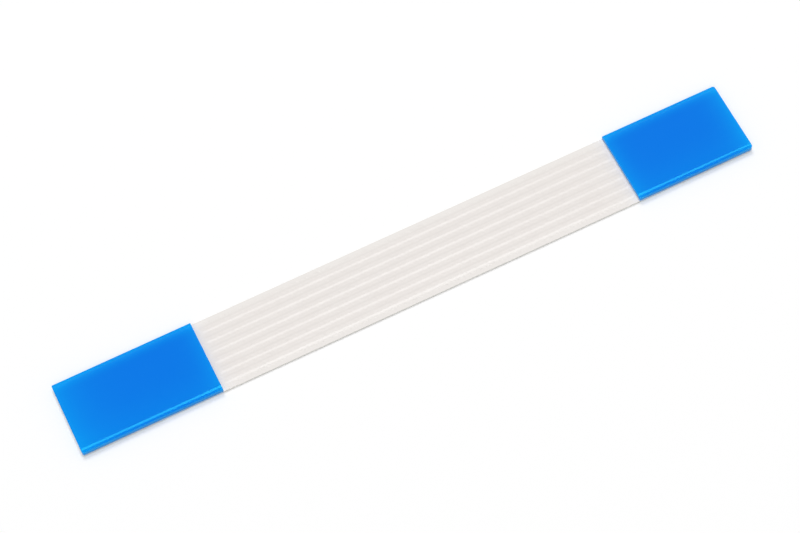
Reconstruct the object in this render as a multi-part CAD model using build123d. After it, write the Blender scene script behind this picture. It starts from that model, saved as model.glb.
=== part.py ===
from build123d import *
import os

# Flat flex cable: six flat copper conductors laminated between two coated plastic films, cut to
# length, with a blue stiffener film bonded over each end and the contacts bare on the underside.
# Millimetres. +X runs along the cable, +Y across it and +Z up. The origin is on the resting plane,
# at the middle of the cable's length and width.

# The cable as a whole
cable_length = 31.5
pitch = 0.5
conductor_count = 6
edge_margin = 0.5  # from each slit edge to the centre of the nearest conductor

# The rolled flat conductors
conductor_width = 0.30
conductor_thickness = 0.05
conductor_edge_radius = 0.015

# The two insulating films, each a plastic web with an adhesive coat on its inner side
web_thickness = 0.020
coat_over_conductor = 0.020
land_inset = 0.080  # how far the flat top of a land stops inside the conductor's edge
land_height = 0.020  # height of a land above the valleys
valley_width = 0.10  # flat floor of the valley between two lands

# The bare contacts on the underside
contact_length = 3.5

# The stiffeners on the upper side
left_stiffener_length = 6.4
right_stiffener_length = 5.5
stiffener_thickness = 0.18
stiffener_coat = 0.030
stiffener_margin = 0.14  # width of the low strip along each long edge
stiffener_shoulder = 0.10  # width of the slope that steps down to that strip
stiffener_step = 0.030  # height of that step
stiffener_lip = 0.010  # how far the strip falls again before the slit edge

# The plan of the cut ends
left_corner_radius = 0.07
right_corner_radius = 0.12

# Worked out from the sizes above
cable_width = (conductor_count - 1) * pitch + 2 * edge_margin
edge_y = cable_width / 2
left_x = -cable_length / 2
right_x = cable_length / 2
middle_z = web_thickness + coat_over_conductor + conductor_thickness / 2
film_top_z = 2 * middle_z
land_half = conductor_width / 2 - land_inset
land_foot = (pitch - valley_width) / 2
stiffener_base_z = film_top_z + stiffener_coat
stiffener_top_z = stiffener_base_z + stiffener_thickness
conductor_ys = [(i - (conductor_count - 1) / 2) * pitch for i in range(conductor_count)]


def section(points, start_x, length):
    """A closed outline of (y, z) points, carried along the cable from start_x."""
    outline = make_face(Polyline(points, close=True))
    return extrude(Plane.YZ.offset(start_x) * outline, amount=length)


def ribbed_line(land_z, side):
    """The (y, z) points of a film surface that rises to a land over each conductor.
    side is +1 for lands that stand up and -1 for lands that stand down."""
    valley_z = land_z - side * land_height
    points = [(-edge_y, valley_z)]
    for y in conductor_ys:
        points += [
            (y - land_foot, valley_z),
            (y - land_half, land_z),
            (y + land_half, land_z),
            (y + land_foot, valley_z),
        ]
    return points + [(edge_y, valley_z)]


def stiffener_line(z):
    """The (y, z) points of a stiffener surface that steps down along both long edges."""
    step_z = z - stiffener_step
    half = [
        (edge_y, step_z - stiffener_lip),
        (edge_y - stiffener_margin, step_z),
        (edge_y - stiffener_margin - stiffener_shoulder, z),
    ]
    return [(-y, height) for y, height in half] + half[::-1]


def cut_outline():
    """The plan of the cable after its ends are cut, as a prism that trims every layer."""
    plan = Rectangle(cable_length, cable_width)
    plan = fillet(plan.vertices().filter_by_position(Axis.X, left_x, left_x), left_corner_radius)
    plan = fillet(plan.vertices().filter_by_position(Axis.X, right_x, right_x), right_corner_radius)
    return extrude(plan, amount=stiffener_top_z)


def conductor(y):
    """One rolled flat conductor, with the soft edges that rolling leaves."""
    bar = RectangleRounded(conductor_width, conductor_thickness, conductor_edge_radius)
    return extrude(Plane.YZ.offset(left_x) * Pos(y, middle_z) * bar, amount=cable_length)


def web(land_z, side, start_x, length):
    """A plastic web of even thickness. land_z is the height of its outer lands."""
    outer = ribbed_line(land_z, side)
    inner = ribbed_line(land_z - side * web_thickness, side)
    return section(outer + inner[::-1], start_x, length)


def coat(land_z, side, start_x, length, conductors):
    """The adhesive coat under a web, which fills the gaps down to the cable's middle plane."""
    inner = ribbed_line(land_z - side * web_thickness, side)
    blank = section([*inner, (edge_y, middle_z), (-edge_y, middle_z)], start_x, length)
    return blank - conductors


def stiffener(start_x, length):
    """A stiffener film, and the coat that bonds it to the ribbed upper film."""
    upper = stiffener_line(stiffener_top_z)
    lower = stiffener_line(stiffener_base_z)
    film = section(upper + lower[::-1], start_x, length)
    bond = section(lower + ribbed_line(film_top_z, 1)[::-1], start_x, length)
    return film, bond


def write(name, shape):
    """Saves one sub-part, named as its node."""
    shape.label = name
    export_step(shape, f"parts/{name}.step")


conductors = [conductor(y) for y in conductor_ys]
outline = cut_outline()
covered_x = left_x + contact_length
covered_length = cable_length - 2 * contact_length

nodes = {f"conductor_{i + 1}": bar for i, bar in enumerate(conductors)}
nodes["upper_film"] = web(film_top_z, 1, left_x, cable_length) & outline
nodes["upper_adhesive"] = coat(film_top_z, 1, left_x, cable_length, conductors) & outline
nodes["lower_film"] = web(0, -1, covered_x, covered_length)
nodes["lower_adhesive"] = coat(0, -1, covered_x, covered_length, conductors)
for side, start_x, length in (
    ("left", left_x, left_stiffener_length),
    ("right", right_x - right_stiffener_length, right_stiffener_length),
):
    film, bond = stiffener(start_x, length)
    nodes[f"{side}_stiffener"] = film & outline
    nodes[f"{side}_stiffener_adhesive"] = bond & outline

os.makedirs("parts", exist_ok=True)
for name, shape in nodes.items():
    write(name, shape)
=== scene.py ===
# Flat flex cable: finishes, rounded film surfaces, lights and camera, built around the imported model.
# Metres, in the model's own frame: +X along the cable, +Y across it, +Z up through the stiffeners.
import math

import bmesh
import bpy
from mathutils import Matrix, Vector, noise


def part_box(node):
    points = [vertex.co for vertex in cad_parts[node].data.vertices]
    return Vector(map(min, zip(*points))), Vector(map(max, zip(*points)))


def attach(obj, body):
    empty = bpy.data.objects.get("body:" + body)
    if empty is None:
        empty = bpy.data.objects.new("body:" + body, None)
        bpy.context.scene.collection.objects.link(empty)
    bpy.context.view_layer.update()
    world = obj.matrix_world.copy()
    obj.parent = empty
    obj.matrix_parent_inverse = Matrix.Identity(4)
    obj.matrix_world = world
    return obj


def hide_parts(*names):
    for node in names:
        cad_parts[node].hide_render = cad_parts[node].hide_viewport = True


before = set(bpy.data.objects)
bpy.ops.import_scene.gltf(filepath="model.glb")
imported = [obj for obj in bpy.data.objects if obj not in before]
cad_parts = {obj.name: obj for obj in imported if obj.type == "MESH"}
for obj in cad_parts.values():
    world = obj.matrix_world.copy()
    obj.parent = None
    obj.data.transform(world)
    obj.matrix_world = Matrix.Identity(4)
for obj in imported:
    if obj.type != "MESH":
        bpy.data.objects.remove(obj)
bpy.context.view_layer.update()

MM = 0.001

# Places taken from the model
FILM_LOW, FILM_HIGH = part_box("upper_film")
COVER_LOW, COVER_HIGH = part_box("lower_film")
LEFT_LOW, LEFT_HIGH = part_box("left_stiffener")
RIGHT_LOW, RIGHT_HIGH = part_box("right_stiffener")
BOND_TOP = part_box("left_stiffener_adhesive")[1][2]
CONDUCTORS = sorted(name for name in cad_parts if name.startswith("conductor_"))
CONDUCTOR_YS = [sum(corner[1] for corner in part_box(name)) / 2 for name in CONDUCTORS]
CONDUCTOR_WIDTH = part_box(CONDUCTORS[0])[1][1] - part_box(CONDUCTORS[0])[0][1]
PITCH = CONDUCTOR_YS[1] - CONDUCTOR_YS[0]
LEFT_END, RIGHT_END = FILM_LOW[0], FILM_HIGH[0]
EDGE_Y = FILM_HIGH[1]

# The ribs that the conductors raise in each film
RIB_HEIGHT = 0.020 * MM
RIB_TOP_HALF = 0.060 * MM  # from a rib's centre to the start of its slope
RIB_FOOT = 0.240 * MM  # from a rib's centre to the end of its slope
RIB_SPREAD = 1.04  # how much further apart the ribs stand than the conductors
RIB_SHIFT = -0.005 * MM
RIB_WAVE = 1.6 * MM  # length of the uneven stretches along a rib
RIB_UNEVENNESS = 0.22  # the most that a rib loses of its height in one
RIB_YS = [y * RIB_SPREAD + RIB_SHIFT for y in CONDUCTOR_YS]
WEB = FILM_HIGH[2] - FILM_LOW[2] - RIB_HEIGHT

# The lands of the adhesive coats inside the films, as modelled
LAND_INSET = 0.080 * MM
VALLEY_WIDTH = 0.10 * MM

# How far adhesive has crept out beside each stiffener
LEFT_FADE = 0.45 * MM
RIGHT_FADE = 0.22 * MM

# The stiffeners' rolled-over long edges: as seen on top, then as modelled underneath
ROLL_START = 0.225 * MM
ROLL_MARGIN = 0.105 * MM
ROLL_STEP = 0.020 * MM
MODEL_MARGIN = 0.14 * MM
MODEL_SHOULDER = 0.10 * MM
MODEL_STEP = 0.030 * MM
MODEL_LIP = 0.010 * MM
EDGE_BAND = MODEL_MARGIN + MODEL_SHOULDER

# The cut edges' fine round, and the plan of the cut ends
RIM = 0.012 * MM
LEFT_CORNER = 0.07 * MM
RIGHT_CORNER = 0.12 * MM

# How close together the points of the surfaces lie
RIB_SPACING = 0.018 * MM
RIBBON_SPACING = 0.3 * MM
COVERED_SPACING = 2 * MM
BRINK_SPACING = 0.04 * MM
LEFT_FADE_SPACING = 0.03 * MM
RIGHT_FADE_SPACING = 0.02 * MM
STIFFENER_SPACING = 0.12 * MM
STIFFENER_EDGE_SPACING = 0.010 * MM
CORNER_SPANS = 6
RIM_SHARES = (0, 0.15, 0.4, 0.7)
SHARP_ANGLE = math.radians(40)

# Painted light near each kind of cut edge, standing for the light that creeps into the films there:
# strength, reach and fall-off power
FAR = (0.80, 0.27 * MM, 2)
NEAR = (0.18, 1.15 * MM, 2)
INNER = (0.55, 0.35 * MM, 1)
END_LEFT = (0.65, 0.90 * MM, 1)
END_RIGHT = (0.88, 0.43 * MM, 1)
# Painted light that lightens the cut faces themselves
CUT_FACE = (0.60, 0.005 * MM, 2)
NO_GLOW = (0.0, 1.0, 1)
# The white films get painted light along their two long edges only
FILM_GLOWS = (NO_GLOW, NO_GLOW, (0.5, 0.35 * MM, 2), (0.6, 0.27 * MM, 2))

# Painted blue light: the colour that the blue film's light gives the layers under it
PAINTED_BLUE_LIGHT = "#B4D8FA"

# The sizes of the patterns in the finishes, each the widest wave of its noise. The real streaks of
# the films and grain of the strip are finer, and are drawn this coarse so that they show.
STREAK_LENGTH = 2.5 * MM
STREAK_WIDTH = MM / 9
FILM_CLOUD = MM / 0.9
FILM_RIPPLE = MM / 1.5
MELT_CLOUD = MM / 12
GRAIN_LENGTH = MM / 0.7
GRAIN_WIDTH = MM / 30

# The table and the surround
FLOOR_SIZE = 4.0
FLOOR_LIFT = 0.065  # a touch of the table's own light, so that it looks white
WORLD_LEVEL = 0.415

# The camera
AIM = Vector((-0.2415, 0.2196, 0)) * MM
CAMERA_DISTANCE = 112.13 * MM
CAMERA_AZIMUTH = 17.848
CAMERA_ELEVATION = 61.490
CAMERA_ROLL = -8.667
LENS = 118.257
SENSOR_WIDTH = 36
CLIP_NEAR = 0.005
CLIP_FAR = 20


def smooth(t):
    """Goes from 0 to 1 as t does, level at both ends."""
    t = min(max(t, 0.0), 1.0)
    return t * t * (3 - 2 * t)


def rib(x, y):
    """Height of a rib as a share: 1 on its top, then steep at first and long in the tail. The
    laminating rollers leave it a little lower here and there along the cable."""
    centre = min(RIB_YS, key=lambda rib_y: abs(y - rib_y))
    t = min(max((abs(y - centre) - RIB_TOP_HALF) / (RIB_FOOT - RIB_TOP_HALF), 0.0), 1.0)
    wave = noise.noise(Vector((x / RIB_WAVE, centre / PITCH, 0.0)))
    return (1 - t) ** 3 * (1 + 3 * t) * (1 - RIB_UNEVENNESS * (0.5 + 0.5 * wave))


def coat_rib(y):
    """The same for the adhesive coat inside a film, whose slopes are straight."""
    off = min(abs(y - centre) for centre in CONDUCTOR_YS)
    top = CONDUCTOR_WIDTH / 2 - LAND_INSET
    foot = (PITCH - VALLEY_WIDTH) / 2
    return min(max((foot - off) / (foot - top), 0.0), 1.0)


def valley_fill(x):
    """How far the valleys are filled at x, where adhesive has crept out beside the stiffeners."""
    from_left = smooth((x - LEFT_HIGH[0]) / LEFT_FADE)
    from_right = smooth((RIGHT_LOW[0] - x) / RIGHT_FADE)
    return 1 - from_left * from_right


def upper_film_top(x, y):
    return FILM_HIGH[2] - RIB_HEIGHT * (1 - rib(x, y)) * (1 - valley_fill(x))


def upper_film_bottom(x, y):
    return FILM_HIGH[2] - WEB - RIB_HEIGHT * (1 - coat_rib(y))


def lower_film_top(x, y):
    return COVER_LOW[2] + WEB + RIB_HEIGHT * (1 - coat_rib(y))


def lower_film_bottom(x, y):
    return COVER_LOW[2] + RIB_HEIGHT * (1 - rib(x, y))


def rim_drop(inset):
    """How far a cut edge's fine round has fallen at this distance in from the cut."""
    if inset >= RIM:
        return 0.0
    return RIM - math.sqrt(max(RIM**2 - (RIM - inset) ** 2, 0.0))


def roll_drop(inset):
    """How far a stiffener's surface has rolled down at this distance in from the slit edge."""
    return ROLL_STEP * smooth((ROLL_START - inset) / (ROLL_START - ROLL_MARGIN))


def seat_drop(inset):
    """The same for the coat that the stiffener sits on, as modelled, which its underside follows."""
    if inset >= EDGE_BAND:
        return 0.0
    if inset >= MODEL_MARGIN:
        return MODEL_STEP * (EDGE_BAND - inset) / MODEL_SHOULDER
    return MODEL_STEP + MODEL_LIP * (1 - inset / MODEL_MARGIN)


def stiffener_top(low, high):
    """The upper surface of the stiffener that fills the box from low to high."""

    def top(x, y):
        ends = min(x - low[0], high[0] - x)
        sides = EDGE_Y - abs(y)
        return high[2] - roll_drop(sides) - rim_drop(ends) - rim_drop(sides)

    return top


def stiffener_bottom(x, y):
    return BOND_TOP - seat_drop(EDGE_Y - abs(y))


def half_width(x):
    """Half the cable's width at x, which narrows round the cut corners."""
    for radius, inset in ((LEFT_CORNER, x - LEFT_END), (RIGHT_CORNER, RIGHT_END - x)):
        if inset < radius:
            return EDGE_Y - radius + math.sqrt(max(radius**2 - (radius - inset) ** 2, 0.0))
    return EDGE_Y


def spaced(start, end, step):
    """Even stations from start up to but not including end, about one step apart."""
    count = max(1, round((end - start) / step))
    return [start + (end - start) * i / count for i in range(count)]


def along(marks, steps):
    """Stations from each mark to the next, with the step given for each, and the last mark."""
    stations = []
    for start, end, step in zip(marks, marks[1:], steps):
        stations += spaced(start, end, step)
    return stations + [marks[-1]]


def film_stations():
    """Stations across a film: close together on the ribs' slopes."""
    marks = [-EDGE_Y, -EDGE_Y + RIM, -EDGE_Y + MODEL_MARGIN]
    for centre in RIB_YS:
        marks += [centre - RIB_FOOT, centre - RIB_TOP_HALF, centre + RIB_TOP_HALF, centre + RIB_FOOT]
    marks += [EDGE_Y - MODEL_MARGIN, EDGE_Y - RIM, EDGE_Y]
    return along(marks, [RIB_SPACING] * (len(marks) - 1))


def stiffener_stations(start, end, first_band, last_band):
    """Stations from one cut edge of a stiffener to the other: closest in the rims and bands."""
    marks = [start + RIM, start + first_band, end - last_band, end - RIM]
    middle = along(marks, [STIFFENER_EDGE_SPACING, STIFFENER_SPACING, STIFFENER_EDGE_SPACING])
    rim = [RIM * share for share in RIM_SHARES]
    return [start + inset for inset in rim] + middle + [end - inset for inset in reversed(rim)]


def slab(name, xs, ys, top, bottom):
    """A closed film between two surfaces, trimmed to the cable's plan."""
    bm = bmesh.new()
    bmesh.ops.create_grid(bm, x_segments=len(xs) - 1, y_segments=len(ys) - 1, size=1)
    corner = max(LEFT_CORNER, RIGHT_CORNER)
    keep = EDGE_Y - corner
    for vert in bm.verts:
        x = xs[round((vert.co.x + 1) / 2 * (len(xs) - 1))]
        y = ys[round((vert.co.y + 1) / 2 * (len(ys) - 1))]
        if abs(y) > keep:
            squeeze = (half_width(x) - keep) / corner
            y = math.copysign(keep + (abs(y) - keep) * squeeze, y)
        vert.co = (x, y, 0)
    under = bmesh.ops.extrude_face_region(bm, geom=bm.faces[:], use_keep_orig=True)
    lower = {item for item in under["geom"] if isinstance(item, bmesh.types.BMVert)}
    for vert in bm.verts:
        surface = bottom if vert in lower else top
        vert.co.z = surface(vert.co.x, vert.co.y)
    bmesh.ops.recalc_face_normals(bm, faces=bm.faces[:])
    return finish_mesh(bm, name)


def finish_mesh(bm, name):
    """Turns a bmesh into a piece, smooth but for its sharp edges."""
    mesh = bpy.data.meshes.new(name)
    bm.to_mesh(mesh)
    bm.free()
    mesh.shade_smooth()
    mesh.set_sharp_from_angle(angle=SHARP_ANGLE)
    piece = bpy.data.objects.new(name, mesh)
    bpy.context.scene.collection.objects.link(piece)
    return piece


def hex_colour(code):
    """An sRGB hex colour as linear values with an alpha of 1."""
    channels = [int(code[i : i + 2], 16) / 255 for i in (1, 3, 5)]
    return [c / 12.92 if c <= 0.04045 else ((c + 0.055) / 1.055) ** 2.4 for c in channels] + [1.0]


def add(tree, kind, inputs=None, **settings):
    """Adds a node. Each input is a value, or a socket to link from."""
    node = tree.nodes.new(kind)
    for key, value in settings.items():
        setattr(node, key, value)
    for key, value in (inputs or {}).items():
        if isinstance(value, bpy.types.NodeSocket):
            tree.links.new(value, node.inputs[key])
        else:
            node.inputs[key].default_value = value
    return node


def new_material(name):
    material = bpy.data.materials.new(name)
    material.use_nodes = True
    material.node_tree.nodes.clear()
    return material, material.node_tree


def white_film():
    """White-filled polyester film, hot-laminated: satin, a little milky, with fine drawn streaks."""
    material, tree = new_material("white_polyester_film_laminated")
    place = add(tree, "ShaderNodeTexCoord").outputs["Object"]
    drawn = (1 / STREAK_LENGTH, 1 / STREAK_WIDTH, 1 / STREAK_WIDTH)
    streaks = add(tree, "ShaderNodeMapping", {"Vector": place, "Scale": drawn})
    streak = add(tree, "ShaderNodeTexNoise", {"Vector": streaks.outputs[0], "Scale": 1.0, "Detail": 3.0})
    cloud = add(tree, "ShaderNodeTexNoise", {"Vector": place, "Scale": 1 / FILM_CLOUD, "Detail": 2.0})
    body = add(
        tree,
        "ShaderNodeMix",
        {"Factor": cloud.outputs[0], "A": hex_colour("#EBE5E1"), "B": hex_colour("#EEE9E5")},
        data_type="RGBA",
    )
    # Painted light: the film's colour is lighter near its cut edges
    glow = add(tree, "ShaderNodeAttribute", attribute_name="painted_edge_light")
    tone = add(
        tree,
        "ShaderNodeMix",
        {"Factor": glow.outputs["Fac"], "A": body.outputs["Result"], "B": hex_colour("#F8F5F1")},
        data_type="RGBA",
    )
    # Painted blue light on the cut edges under the stiffeners
    cast = add(tree, "ShaderNodeAttribute", attribute_name="painted_blue_light")
    colour = add(
        tree,
        "ShaderNodeMix",
        {"Factor": cast.outputs["Fac"], "A": tone.outputs["Result"], "B": hex_colour(PAINTED_BLUE_LIGHT)},
        data_type="RGBA",
    )
    bump = add(
        tree,
        "ShaderNodeBump",
        {"Height": streak.outputs[0], "Distance": 0.0006 * MM, "Strength": 1.0},
    )
    shader = add(
        tree,
        "ShaderNodeBsdfPrincipled",
        {
            "Base Color": colour.outputs["Result"],
            "Roughness": 0.24,
            "IOR": 1.58,
            "Normal": bump.outputs[0],
        },
    )
    add(tree, "ShaderNodeOutputMaterial", {"Surface": shader.outputs[0]})
    return material


def blue_film():
    """Blue-dyed polyester film: glossy, with painted light near its cut edges, where light gets in."""
    material, tree = new_material("blue_polyester_film_calendered")
    place = add(tree, "ShaderNodeTexCoord").outputs["Object"]
    # Painted light: the film's colour is lighter near its cut edges
    glow = add(tree, "ShaderNodeAttribute", attribute_name="painted_edge_light")
    tone = add(
        tree,
        "ShaderNodeMix",
        {"Factor": glow.outputs["Fac"], "A": hex_colour("#006AEC"), "B": hex_colour("#009AFD")},
        data_type="RGBA",
    )
    ripple = add(tree, "ShaderNodeTexNoise", {"Vector": place, "Scale": 1 / FILM_RIPPLE, "Detail": 2.0})
    bump = add(
        tree,
        "ShaderNodeBump",
        {"Height": ripple.outputs[0], "Distance": 0.0004 * MM, "Strength": 1.0},
    )
    shader = add(
        tree,
        "ShaderNodeBsdfPrincipled",
        {
            "Base Color": tone.outputs["Result"],
            "Roughness": 0.11,
            "IOR": 1.65,
            "Specular Tint": (0.06, 1.0, 0.9, 1.0),
            "Normal": bump.outputs[0],
        },
    )
    add(tree, "ShaderNodeOutputMaterial", {"Surface": shader.outputs[0]})
    return material


def cut_melt(tree, place, tone):
    """The finish of a hot-melt coat in this tone: matt, and cloudy where the knife went through."""
    cloud = add(tree, "ShaderNodeTexNoise", {"Vector": place, "Scale": 1 / MELT_CLOUD, "Detail": 3.0})
    bump = add(tree, "ShaderNodeBump", {"Height": cloud.outputs[0], "Distance": 0.001 * MM})
    shader = add(
        tree,
        "ShaderNodeBsdfPrincipled",
        {
            "Base Color": tone,
            "Roughness": 0.5,
            "IOR": 1.5,
            "Normal": bump.outputs[0],
        },
    )
    add(tree, "ShaderNodeOutputMaterial", {"Surface": shader.outputs[0]})


def laminating_coat():
    """Hot-melt polyester between the films: milky, with painted blue light from the stiffener film over it.
    """
    material, tree = new_material("hot_melt_polyester_coat")
    place = add(tree, "ShaderNodeTexCoord").outputs["Object"]
    middle = (LEFT_HIGH[0] + RIGHT_LOW[0]) / 2
    along_x = add(tree, "ShaderNodeSeparateXYZ", {0: place}).outputs["X"]
    offset = add(tree, "ShaderNodeMath", {0: along_x, 1: middle}, operation="SUBTRACT")
    distance = add(tree, "ShaderNodeMath", {0: offset.outputs[0]}, operation="ABSOLUTE")
    covered = add(
        tree,
        "ShaderNodeMath",
        {0: distance.outputs[0], 1: RIGHT_LOW[0] - middle},
        operation="GREATER_THAN",
    )
    # Painted blue light where the stiffeners cover the coat
    tone = add(
        tree,
        "ShaderNodeMix",
        {"Factor": covered.outputs[0], "A": hex_colour("#FBF8F2"), "B": hex_colour(PAINTED_BLUE_LIGHT)},
        data_type="RGBA",
    )
    cut_melt(tree, place, tone.outputs["Result"])
    return material


def stiffener_coat():
    """Clear hot-melt polyester that bonds the stiffeners, painted all over with the blue light of the film
    over it.
    """
    material, tree = new_material("hot_melt_stiffener_coat")
    place = add(tree, "ShaderNodeTexCoord").outputs["Object"]
    # Painted blue light all over this coat
    cut_melt(tree, place, hex_colour(PAINTED_BLUE_LIGHT))
    return material


def tinned_copper():
    """Rolled copper strip with a bright tin plate: soft reflections drawn out along the strip."""
    material, tree = new_material("tinned_copper_rolled")
    place = add(tree, "ShaderNodeTexCoord").outputs["Object"]
    rolled = (1 / GRAIN_LENGTH, 1 / GRAIN_WIDTH, 1 / GRAIN_WIDTH)
    lines = add(tree, "ShaderNodeMapping", {"Vector": place, "Scale": rolled})
    grain = add(tree, "ShaderNodeTexNoise", {"Vector": lines.outputs[0], "Scale": 1.0, "Detail": 4.0})
    bump = add(tree, "ShaderNodeBump", {"Height": grain.outputs[0], "Distance": 0.0015 * MM})
    shader = add(
        tree,
        "ShaderNodeBsdfPrincipled",
        {
            "Base Color": hex_colour("#DAD7D1"),
            "Metallic": 1.0,
            "Roughness": 0.3,
            "Normal": bump.outputs[0],
        },
    )
    add(tree, "ShaderNodeOutputMaterial", {"Surface": shader.outputs[0]})
    return material


def give(piece, material):
    piece.data.materials.clear()
    piece.data.materials.append(material)


def paint_node(name, material):
    """Puts a finish on a model part's own material slots."""
    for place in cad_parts[name].material_slots:
        place.material = material


def painted_edge_light(piece, low, high, glows):
    """Stores how much painted light the colour gets near the cut edges, standing for the light that creeps
    in there. glows gives for each of the edges
    -X, +X, -Y and +Y its strength, its reach and how fast it dies away."""
    attribute = piece.data.attributes.new("painted_edge_light", "FLOAT", "POINT")
    for vert, value in zip(piece.data.vertices, attribute.data):
        x, y = vert.co.x, vert.co.y
        insets = (x - low[0], high[0] - x, y + EDGE_Y, EDGE_Y - y)
        total = 0.0
        for inset, glow in zip(insets, glows):
            for strength, reach, power in (glow, CUT_FACE):
                total += strength * math.exp(-((max(inset, 0.0) / reach) ** power))
        value.value = min(total, 1.0)


def painted_blue_light(piece):
    """Marks the cut edges under the stiffeners, where the blue film's light is painted on."""
    attribute = piece.data.attributes.new("painted_blue_light", "FLOAT", "POINT")
    for vert, value in zip(piece.data.vertices, attribute.data):
        x, inset = vert.co.x, EDGE_Y - abs(vert.co.y)
        covered = x < LEFT_HIGH[0] - RIM or x > RIGHT_LOW[0] + RIM
        cut = min(inset, x - LEFT_END, RIGHT_END - x) < RIM / 2
        value.value = 1.0 if covered and cut else 0.0


def build_films(material):
    """The upper film, as long as the cable, and the lower one between the bare contacts."""
    marks = [
        LEFT_END,
        LEFT_END + LEFT_CORNER,
        LEFT_HIGH[0] - BRINK_SPACING,
        LEFT_HIGH[0],
        LEFT_HIGH[0] + LEFT_FADE,
        RIGHT_LOW[0] - RIGHT_FADE,
        RIGHT_LOW[0],
        RIGHT_END - RIGHT_CORNER,
        RIGHT_END,
    ]
    steps = [
        LEFT_CORNER / CORNER_SPANS,
        COVERED_SPACING,
        BRINK_SPACING,
        LEFT_FADE_SPACING,
        RIBBON_SPACING,
        RIGHT_FADE_SPACING,
        COVERED_SPACING,
        RIGHT_CORNER / CORNER_SPANS,
    ]
    ys = film_stations()
    upper = slab("upper_film_skin", along(marks, steps), ys, upper_film_top, upper_film_bottom)
    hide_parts("upper_film")
    xs = along([COVER_LOW[0], COVER_HIGH[0]], [RIBBON_SPACING])
    lower = slab("lower_film_skin", xs, ys, lower_film_top, lower_film_bottom)
    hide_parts("lower_film")
    for piece in (upper, lower):
        # Painted light near the films' cut edges, and painted blue light under the stiffeners
        painted_edge_light(piece, COVER_LOW, COVER_HIGH, FILM_GLOWS)
        painted_blue_light(piece)
        give(piece, material)
    return [upper, lower]


def build_stiffener(node, low, high, glows, material):
    """A stiffener film, with its long edges rolled over and its cut end's corners rounded."""
    left_band = max(LEFT_CORNER if low[0] == LEFT_END else 0.0, 2 * RIM)
    right_band = max(RIGHT_CORNER if high[0] == RIGHT_END else 0.0, 2 * RIM)
    xs = stiffener_stations(low[0], high[0], left_band, right_band)
    ys = stiffener_stations(-EDGE_Y, EDGE_Y, EDGE_BAND, EDGE_BAND)
    piece = slab(node + "_skin", xs, ys, stiffener_top(low, high), stiffener_bottom)
    # Painted light near the stiffener's cut edges
    painted_edge_light(piece, low, high, glows)
    give(piece, material)
    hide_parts(node)
    return piece


def background_rays(tree):
    """1 for the rays that show the background: straight to the eye, by reflection or through glass."""
    path = add(tree, "ShaderNodeLightPath").outputs
    seen = add(
        tree,
        "ShaderNodeMath",
        {0: path["Is Camera Ray"], 1: path["Is Glossy Ray"]},
        operation="MAXIMUM",
    )
    either = add(
        tree,
        "ShaderNodeMath",
        {0: seen.outputs[0], 1: path["Is Transmission Ray"]},
        operation="MAXIMUM",
    )
    return either.outputs[0]


def build_floor():
    """The table: white acrylic, matt, white where it is seen and shaded by the cable."""
    bm = bmesh.new()
    bmesh.ops.create_grid(bm, x_segments=1, y_segments=1, size=FLOOR_SIZE / 2)
    bmesh.ops.translate(bm, verts=bm.verts[:], vec=(0, 0, COVER_LOW[2]))
    floor = finish_mesh(bm, "table_top")
    material, tree = new_material("white_acrylic_table")
    seen = background_rays(tree)
    tone = add(
        tree,
        "ShaderNodeMix",
        {"Factor": seen, "A": hex_colour("#ECECEC"), "B": (1.0, 1.0, 1.0, 1.0)},
        data_type="RGBA",
    )
    matt = add(tree, "ShaderNodeBsdfDiffuse", {"Color": tone.outputs["Result"]})
    lift = add(tree, "ShaderNodeMath", {0: seen, 1: FLOOR_LIFT}, operation="MULTIPLY")
    glow = add(tree, "ShaderNodeEmission", {"Strength": lift.outputs[0]})
    shader = add(tree, "ShaderNodeAddShader", {0: matt.outputs[0], 1: glow.outputs[0]})
    add(tree, "ShaderNodeOutputMaterial", {"Surface": shader.outputs[0]})
    give(floor, material)


def build_world():
    """A white surround where it is seen, and a dimmer one for the light it gives."""
    world = bpy.data.worlds.new("studio")
    world.use_nodes = True
    tree = world.node_tree
    tree.nodes.clear()
    seen = background_rays(tree)
    level = add(
        tree,
        "ShaderNodeMix",
        {"Factor": seen, "A": WORLD_LEVEL, "B": 1.0},
        data_type="FLOAT",
    )
    light = add(tree, "ShaderNodeBackground", {"Color": (1, 1, 1, 1), "Strength": level.outputs["Result"]})
    add(tree, "ShaderNodeOutputWorld", {"Surface": light.outputs[0]})
    bpy.context.scene.world = world


def direction(azimuth, elevation):
    """The way towards a place seen at this azimuth and elevation; azimuth 0 is on the -Y side."""
    a, e = math.radians(azimuth), math.radians(elevation)
    return Vector((-math.sin(a) * math.cos(e), -math.cos(a) * math.cos(e), math.sin(e)))


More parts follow.
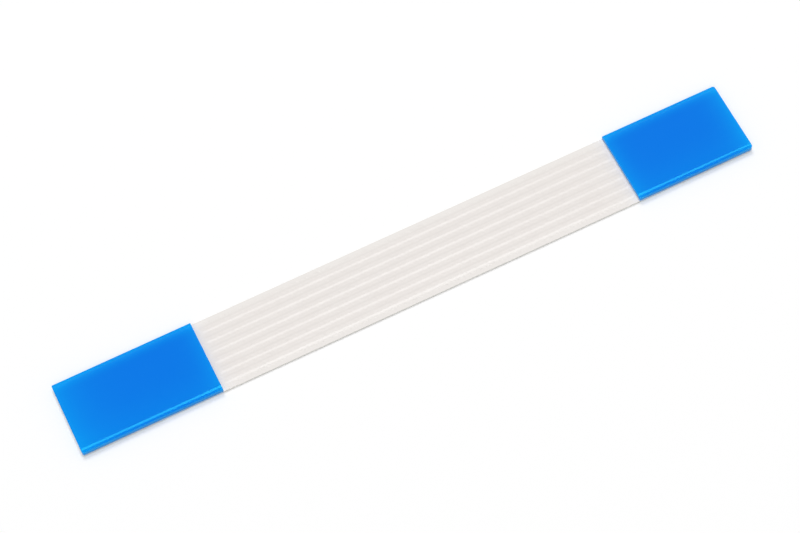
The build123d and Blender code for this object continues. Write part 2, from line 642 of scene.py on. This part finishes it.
def softbox(name, azimuth, elevation, distance, width, height, power):
    """A square lamp that faces the cable's middle. Angles in degrees, sizes in metres, power in watts."""
    light = bpy.data.lights.new(name, "AREA")
    light.shape = "RECTANGLE"
    light.size, light.size_y = width, height
    light.energy = power
    lamp = bpy.data.objects.new(name, light)
    way = direction(azimuth, elevation)
    lamp.location = way * distance
    lamp.rotation_euler = way.to_track_quat("Z", "Y").to_euler()
    bpy.context.scene.collection.objects.link(lamp)
    return lamp


def build_lamps():
    """The overhead lamp draws the ribs, the front one fills, and the back one isn't mirrored."""
    softbox("overhead_softbox", azimuth=250, elevation=82, distance=0.6, width=0.26, height=0.22, power=0.7)
    softbox("front_softbox", azimuth=30, elevation=50, distance=0.9, width=0.5, height=0.5, power=1.2)
    back = softbox(
        "back_softbox", azimuth=190, elevation=60, distance=0.9, width=0.4, height=0.3, power=2.25
    )
    back.visible_glossy = False


def build_camera():
    camera = bpy.data.cameras.new("camera")
    camera.sensor_width = SENSOR_WIDTH
    camera.lens = LENS
    camera.clip_start = CLIP_NEAR
    camera.clip_end = CLIP_FAR
    eye = bpy.data.objects.new("camera", camera)
    way = direction(CAMERA_AZIMUTH, CAMERA_ELEVATION)
    turn = way.to_track_quat("Z", "Y").to_matrix()
    roll = Matrix.Rotation(math.radians(CAMERA_ROLL), 3, "Z")
    eye.matrix_world = Matrix.Translation(AIM + way * CAMERA_DISTANCE) @ (turn @ roll).to_4x4()
    bpy.context.scene.collection.objects.link(eye)
    bpy.context.scene.camera = eye


white = white_film()
blue = blue_film()
copper = tinned_copper()
laminate = laminating_coat()
bond = stiffener_coat()

films = build_films(white)
stiffeners = [
    build_stiffener("left_stiffener", LEFT_LOW, LEFT_HIGH, (END_LEFT, INNER, NEAR, FAR), blue),
    build_stiffener("right_stiffener", RIGHT_LOW, RIGHT_HIGH, (INNER, END_RIGHT, NEAR, FAR), blue),
]
for piece in films + stiffeners:
    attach(piece, "root")
for name in CONDUCTORS:
    paint_node(name, copper)
for name in ("upper_adhesive", "lower_adhesive"):
    paint_node(name, laminate)
for name in ("left_stiffener_adhesive", "right_stiffener_adhesive"):
    paint_node(name, bond)

build_floor()
build_world()
build_lamps()
build_camera()
bpy.context.scene.view_settings.view_transform = "Standard"
